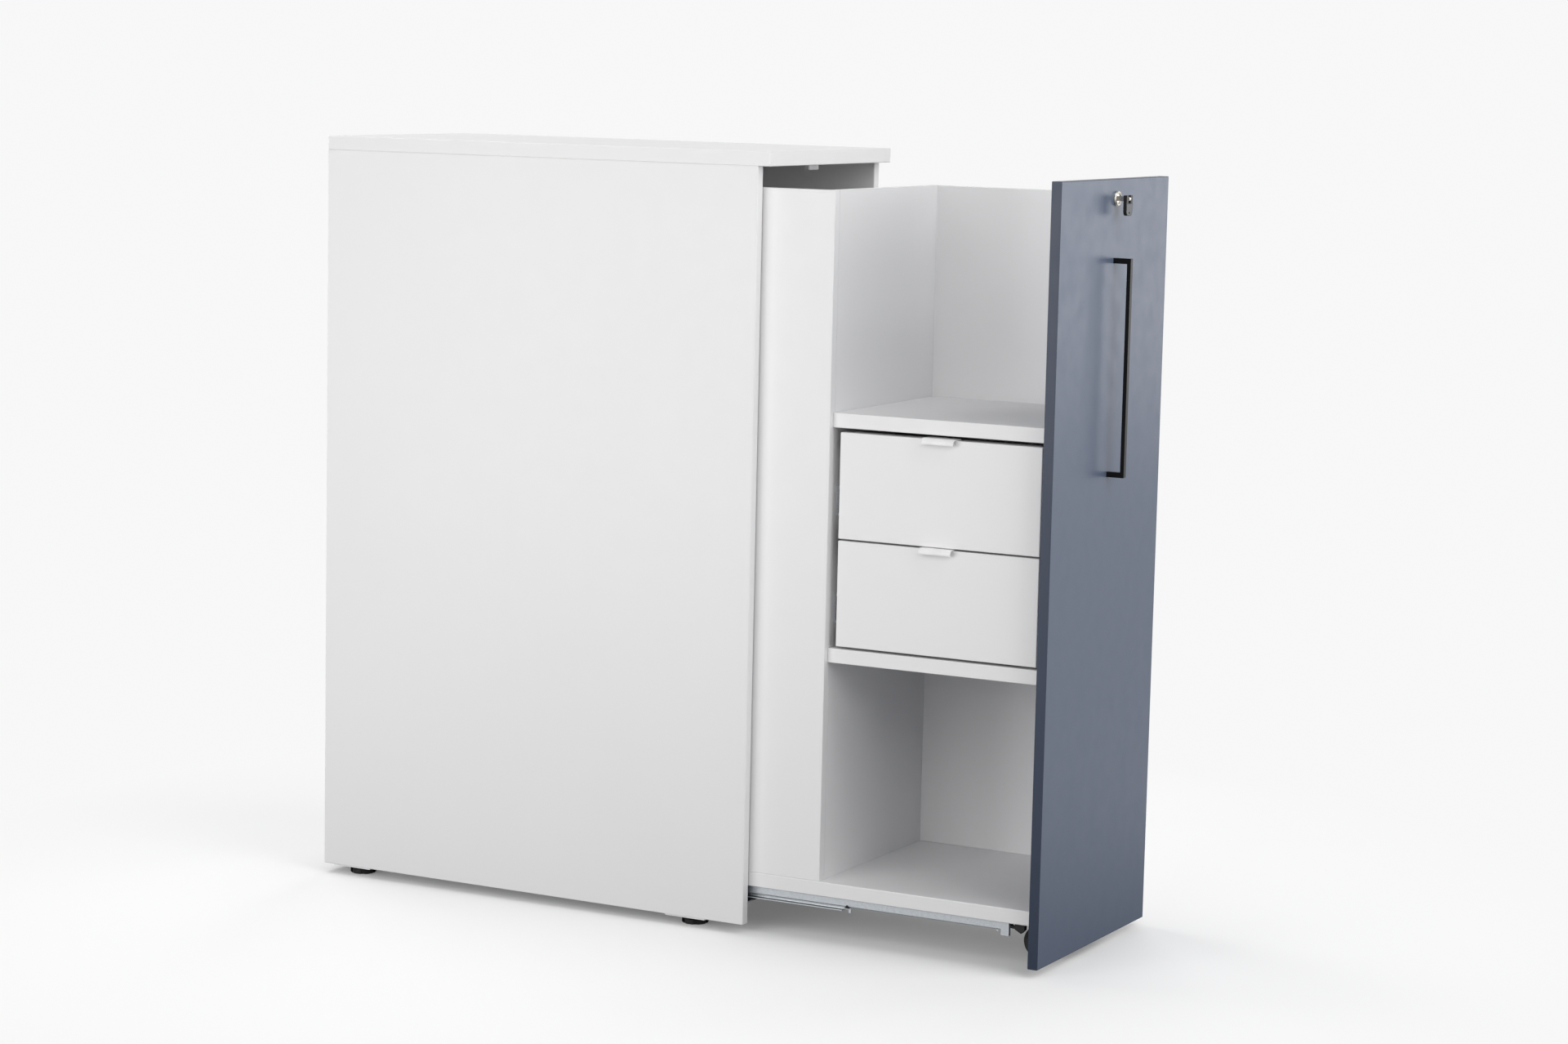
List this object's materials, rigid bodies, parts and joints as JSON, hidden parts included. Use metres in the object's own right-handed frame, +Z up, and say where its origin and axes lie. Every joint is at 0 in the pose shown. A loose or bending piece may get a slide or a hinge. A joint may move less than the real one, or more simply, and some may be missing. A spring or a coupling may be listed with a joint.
{
  "type": "pull-out cabinet",
  "caption": "Tall narrow cabinet on levelling feet with a roll-out unit behind a slate front: open compartments, sideways drawers, cam lock and bar handle.",
  "frame": {"origin": "on the floor, under the middle of the whole with the unit pulled out as in the picture", "axes": "+X to the right as seen from the front, +Y into the depth from the front panel to the back, +Z up"},
  "size_m": [0.4, 1.3028, 1.195],
  "materials": {
    "white_board": "white melamine-faced board with matching edge band, fine matt grain",
    "slate_board": "slate blue-grey melamine-faced board, matt",
    "white_metal": "white powder coat",
    "white_plastic": "white moulded plastic",
    "galvanised_steel": "zinc-plated rolled steel",
    "black_plastic": "black moulded plastic",
    "grey_plastic": "soft grey moulded plastic",
    "black_metal": "satin black powder coat",
    "castor_rubber": "black tread",
    "nickel": "satin nickel plating"
  },
  "bodies": {
    "carcass": {"side_left": "white_board", "side_right": "white_board", "top_board": "white_board", "back_panel": "white_board", "rear_rail": "white_board", "lock_strike": "white_plastic", "rail_fixed_left": "galvanised_steel", "rail_fixed_right": "galvanised_steel", "carcass_screws": "galvanised_steel", "foot_brackets": "white_metal"},
    "foot_front_left": {"foot_front_left": "black_plastic"},
    "foot_front_right": {"foot_front_right": "black_plastic"},
    "foot_rear_left": {"foot_rear_left": "black_plastic"},
    "foot_rear_right": {"foot_rear_right": "black_plastic"},
    "unit": {"front_panel": "slate_board", "bottom_board": "white_board", "right_panel": "white_board", "left_panel": "white_board", "cross_panel": "white_board", "rear_panel": "white_board", "shelf_lower": "white_board", "shelf_upper": "white_board", "rail_moving_left": "galvanised_steel", "rail_moving_right": "galvanised_steel", "rail_hooks": "galvanised_steel", "release_catches": "black_plastic", "castor_forks": "galvanised_steel", "castor_axles": "galvanised_steel", "bar_handle": "black_metal", "handle_screws": "galvanised_steel", "lock_housing": "nickel", "lock_nut": "nickel", "slide_outer": "galvanised_steel"},
    "castor_left": {"castor_wheel_left": "castor_rubber"},
    "castor_right": {"castor_wheel_right": "castor_rubber"},
    "runner_middle": {"rail_middle_left": "galvanised_steel", "rail_middle_right": "galvanised_steel"},
    "cages_lower": {"roller_cages_lower": "black_plastic"},
    "cages_upper": {"roller_cages_upper": "black_plastic"},
    "lock_core": {"lock_plug": "nickel", "lock_cam": "nickel", "cam_screw": "nickel", "key_blade": "nickel", "key_pin": "nickel"},
    "key_grip": {"key_bow": "black_plastic", "key_inlay": "grey_plastic"},
    "drawer_upper": {"drawer_front_upper": "white_board", "drawer_sides_upper": "white_board", "drawer_back_upper": "white_board", "drawer_bottom_upper": "white_board", "tab_pull_upper": "white_metal", "slide_inner_upper": "galvanised_steel"},
    "slide_upper": {"slide_middle_upper": "galvanised_steel"},
    "drawer_lower": {"drawer_front_lower": "white_board", "drawer_sides_lower": "white_board", "drawer_back_lower": "white_board", "drawer_bottom_lower": "white_board", "tab_pull_lower": "white_metal", "slide_inner_lower": "galvanised_steel"},
    "slide_lower": {"slide_middle_lower": "galvanised_steel"}
  },
  "joints": [
    {"name": "pullout_slide", "type": "slide", "parent": "carcass", "child": "unit", "axis": [0, -1, 0], "range_m": [-0.4777, 0.0213]},
    {"name": "runner_middle_slide", "type": "slide", "parent": "carcass", "child": "runner_middle", "axis": [0, -1, 0], "range_m": [-0.2389, 0.0107]},
    {"name": "cages_lower_slide", "type": "slide", "parent": "carcass", "child": "cages_lower", "axis": [0, -1, 0], "range_m": [-0.1195, 0.0054]},
    {"name": "cages_upper_slide", "type": "slide", "parent": "carcass", "child": "cages_upper", "axis": [0, -1, 0], "range_m": [-0.3583, 0.016]},
    {"name": "castor_left_spin", "type": "hinge", "parent": "unit", "child": "castor_left", "pos_m": [-0.076, -0.57295, 0.025], "axis": [1, 0, 0], "continuous": true},
    {"name": "castor_right_spin", "type": "hinge", "parent": "unit", "child": "castor_right", "pos_m": [0.076, -0.57295, 0.025], "axis": [1, 0, 0], "continuous": true},
    {"name": "drawer_upper_slide", "type": "slide", "parent": "unit", "child": "drawer_upper", "axis": [-1, 0, 0], "range_m": [0, 0.3]},
    {"name": "slide_upper_slide", "type": "slide", "parent": "unit", "child": "slide_upper", "axis": [-1, 0, 0], "range_m": [0, 0.15]},
    {"name": "drawer_lower_slide", "type": "slide", "parent": "unit", "child": "drawer_lower", "axis": [-1, 0, 0], "range_m": [0, 0.3]},
    {"name": "slide_lower_slide", "type": "slide", "parent": "unit", "child": "slide_lower", "axis": [-1, 0, 0], "range_m": [0, 0.15]},
    {"name": "lock_turn", "type": "hinge", "parent": "unit", "child": "lock_core", "pos_m": [0, -0.60735, 1.139], "axis": [0, 1, 0], "range_deg": [0, 90]},
    {"name": "key_fold", "type": "hinge", "parent": "lock_core", "child": "key_grip", "pos_m": [0, -0.64185, 1.139], "axis": [-1, 0, 0], "range_deg": [0, 90]},
    {"name": "foot_front_left_turn", "type": "hinge", "parent": "carcass", "child": "foot_front_left", "pos_m": [-0.166, -0.02665, 0], "axis": [0, 0, 1], "continuous": true},
    {"name": "foot_front_right_turn", "type": "hinge", "parent": "carcass", "child": "foot_front_right", "pos_m": [0.166, -0.02665, 0], "axis": [0, 0, 1], "continuous": true},
    {"name": "foot_rear_left_turn", "type": "hinge", "parent": "carcass", "child": "foot_rear_left", "pos_m": [-0.166, 0.59735, 0], "axis": [0, 0, 1], "continuous": true},
    {"name": "foot_rear_right_turn", "type": "hinge", "parent": "carcass", "child": "foot_rear_right", "pos_m": [0.166, 0.59735, 0], "axis": [0, 0, 1], "continuous": true}
  ],
  "couplings": [
    {"joint": "runner_middle_slide", "follows": "pullout_slide", "ratio": 0.5},
    {"joint": "cages_lower_slide", "follows": "pullout_slide", "ratio": 0.25},
    {"joint": "cages_upper_slide", "follows": "pullout_slide", "ratio": 0.75},
    {"joint": "castor_left_spin", "follows": "pullout_slide", "rad_per_m": 40},
    {"joint": "castor_right_spin", "follows": "pullout_slide", "rad_per_m": 40},
    {"joint": "slide_upper_slide", "follows": "drawer_upper_slide", "ratio": 0.5},
    {"joint": "slide_lower_slide", "follows": "drawer_lower_slide", "ratio": 0.5}
  ]
}
